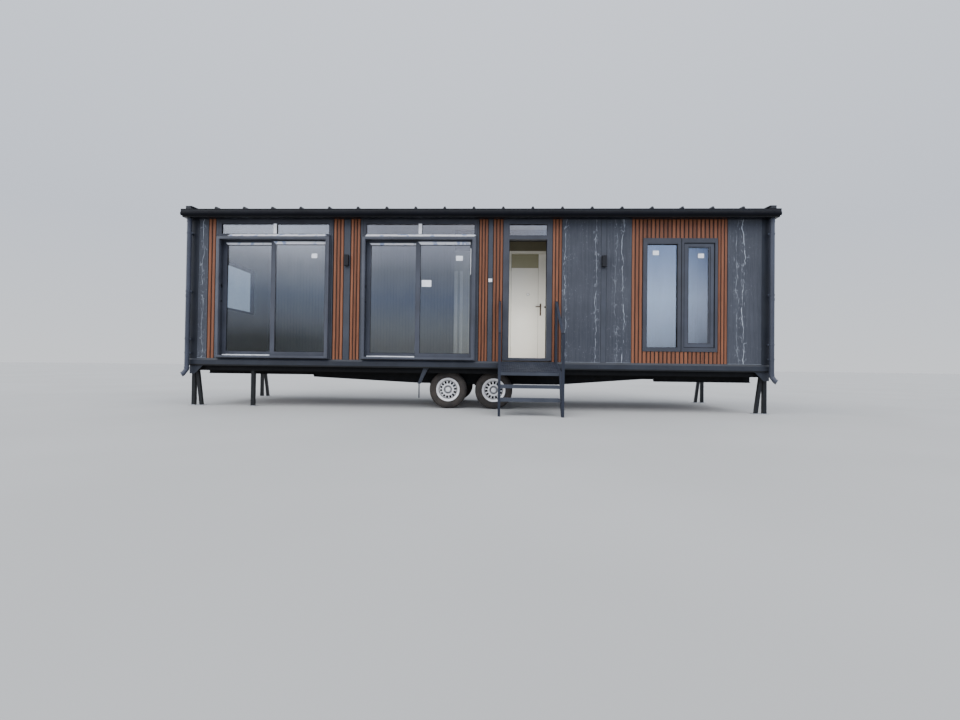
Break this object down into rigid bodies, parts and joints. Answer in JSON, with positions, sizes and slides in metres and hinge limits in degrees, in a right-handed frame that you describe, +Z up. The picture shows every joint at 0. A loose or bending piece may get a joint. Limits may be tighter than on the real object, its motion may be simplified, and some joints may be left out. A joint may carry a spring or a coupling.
{
  "type": "tiny house on a trailer chassis",
  "caption": "Long tiny house on wheels: sloping ribbed roof, marble-look and slatted cladding, tall sliding windows, entrance with steps.",
  "frame": {"origin": "middle of the whole footprint, on the ground under the tyres and foot pads", "axes": "+X along the house to the right as seen from the entrance side, +Y from the entrance side to the back, +Z up"},
  "size_m": [10.12, 3.556, 3.6805],
  "materials": {
    "chassis_black": "semi-gloss black paint",
    "anthracite_steel": "satin anthracite powder coat",
    "galvanised_pad": "dull galvanised",
    "marble_board": "matte printed board with pale veins and fine grooves",
    "slat_board": "wood-look slats on a dark backing",
    "window_aluminium": "satin anthracite powder coat",
    "glass": "clear insulated glass",
    "wall_core": "plain pale lining",
    "floor_board": "laminate boards",
    "roof_sheet": "satin black coated sheet",
    "lamp_black": "matte black",
    "white_paint": "satin warm white",
    "handle_steel": "brushed",
    "tyre": "black rubber",
    "rim_silver": "silver paint"
  },
  "bodies": {
    "house": {"floor_frame": "chassis_black", "cross_members": "chassis_black", "main_beams": "chassis_black", "axles": "chassis_black", "suspension": "chassis_black", "levelling_legs": "chassis_black", "bottom_rails": "anthracite_steel", "corner_posts": "anthracite_steel", "joint_trims": "anthracite_steel", "corner_gussets": "anthracite_steel", "diagonal_stay": "anthracite_steel", "stair_stringers": "anthracite_steel", "stair_posts": "anthracite_steel", "handrails": "anthracite_steel", "stair_treads": "anthracite_steel", "landing_plate": "anthracite_steel", "downpipes": "anthracite_steel", "pipe_brackets": "anthracite_steel", "foot_pads": "galvanised_pad", "cladding_boards": "marble_board", "slat_panels": "slat_board", "window_1_frame": "window_aluminium", "window_1_sashes": "window_aluminium", "window_2_frame": "window_aluminium", "window_2_sashes": "window_aluminium", "window_3_frame": "window_aluminium", "window_3_sash": "window_aluminium", "door_frame": "window_aluminium", "end_window_frame": "window_aluminium", "window_glass": "glass", "front_wall": "wall_core", "front_header": "wall_core", "window_infill": "wall_core", "rear_wall": "wall_core", "left_wall": "wall_core", "right_wall": "wall_core", "partition": "wall_core", "partition_header": "wall_core", "floor_deck": "floor_board", "roof_panel": "roof_sheet", "verge_flashings": "roof_sheet", "eave_flashings": "roof_sheet", "fascia": "roof_sheet", "gutter": "roof_sheet", "wall_lamps": "lamp_black", "socket_plate": "lamp_black", "inner_door_frame": "white_paint", "hinge_pins": "handle_steel"},
    "wheel_front_left": {"tyre_front_left": "tyre", "rim_front_left": "rim_silver"},
    "wheel_front_right": {"tyre_front_right": "tyre", "rim_front_right": "rim_silver"},
    "wheel_rear_left": {"tyre_rear_left": "tyre", "rim_rear_left": "rim_silver"},
    "wheel_rear_right": {"tyre_rear_right": "tyre", "rim_rear_right": "rim_silver"},
    "inner_door_leaf": {"inner_door": "white_paint", "door_fittings": "handle_steel"}
  },
  "joints": [
    {"name": "wheel_spin_front_left", "type": "hinge", "parent": "house", "child": "wheel_front_left", "pos_m": [-0.44, -0.5405, 0.333], "axis": [0, 1, 0], "continuous": true},
    {"name": "wheel_spin_front_right", "type": "hinge", "parent": "house", "child": "wheel_front_right", "pos_m": [0.37, -0.5405, 0.333], "axis": [0, 1, 0], "continuous": true},
    {"name": "wheel_spin_rear_left", "type": "hinge", "parent": "house", "child": "wheel_rear_left", "pos_m": [-0.44, 1.4145, 0.333], "axis": [0, 1, 0], "continuous": true},
    {"name": "wheel_spin_rear_right", "type": "hinge", "parent": "house", "child": "wheel_rear_right", "pos_m": [0.37, 1.4145, 0.333], "axis": [0, 1, 0], "continuous": true},
    {"name": "inner_door_swing", "type": "hinge", "parent": "house", "child": "inner_door_leaf", "pos_m": [0.6865, 0.348, 1.93], "axis": [0, 0, 1], "range_deg": [0, 90]}
  ]
}
